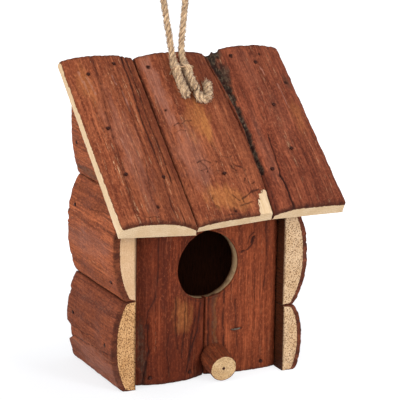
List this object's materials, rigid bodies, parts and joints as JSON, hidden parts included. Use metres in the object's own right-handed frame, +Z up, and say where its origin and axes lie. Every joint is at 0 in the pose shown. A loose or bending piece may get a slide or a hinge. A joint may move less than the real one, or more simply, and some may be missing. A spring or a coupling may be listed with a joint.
{
  "type": "bird nest box",
  "caption": "Small hanging bird nest box of bark-covered wooden slabs with a sloping roof, round entrance, stub perch and a looped jute cord.",
  "frame": {"origin": "on the surface that the box stands on, under the middle of the outline of the box and its roof, without the cord", "axes": "-Y out of the round entrance, +X to the right of someone who faces it, +Z up"},
  "size_m": [0.1406, 0.0981, 0.2307],
  "materials": {
    "bark": "rough reddish-brown bark, pale sawn wood at the slabs' ends",
    "dark_bark": "rough darker brown bark, pale sawn wood inside the entrance",
    "sawn_wood": "plain sawn softwood",
    "steel": "dull dark steel",
    "jute": "fuzzy tan twisted jute"
  },
  "bodies": {
    "root": {"back_slab_left": "bark", "back_slab_right": "bark", "cord_frayed_end": "jute", "cord_staple": "steel", "floor_board": "sawn_wood", "floor_brad_1": "steel", "floor_brad_2": "steel", "floor_brad_3": "steel", "floor_brad_4": "steel", "floor_brad_5": "steel", "front_batten": "sawn_wood", "front_slab_left": "dark_bark", "front_slab_right": "dark_bark", "front_staple": "steel", "hanging_cord": "jute", "perch": "bark", "perch_nail": "steel", "roof_brad_1": "steel", "roof_brad_10": "steel", "roof_brad_11": "steel", "roof_brad_12": "steel", "roof_brad_2": "steel", "roof_brad_3": "steel", "roof_brad_4": "steel", "roof_brad_5": "steel", "roof_brad_6": "steel", "roof_brad_7": "steel", "roof_brad_8": "steel", "roof_brad_9": "steel", "roof_slab_left": "bark", "roof_slab_middle": "bark", "roof_slab_right": "bark", "side_brad_1": "steel", "side_brad_10": "steel", "side_brad_11": "steel", "side_brad_12": "steel", "side_brad_13": "steel", "side_brad_2": "steel", "side_brad_3": "steel", "side_brad_4": "steel", "side_brad_5": "steel", "side_brad_6": "steel", "side_brad_7": "steel", "side_brad_8": "steel", "side_brad_9": "steel", "side_slab_left_lower": "bark", "side_slab_left_middle": "bark", "side_slab_left_upper": "bark", "side_slab_right_lower": "bark", "side_slab_right_middle": "bark", "side_slab_right_top": "bark", "side_slab_right_upper": "bark"}
  },
  "joints": []
}
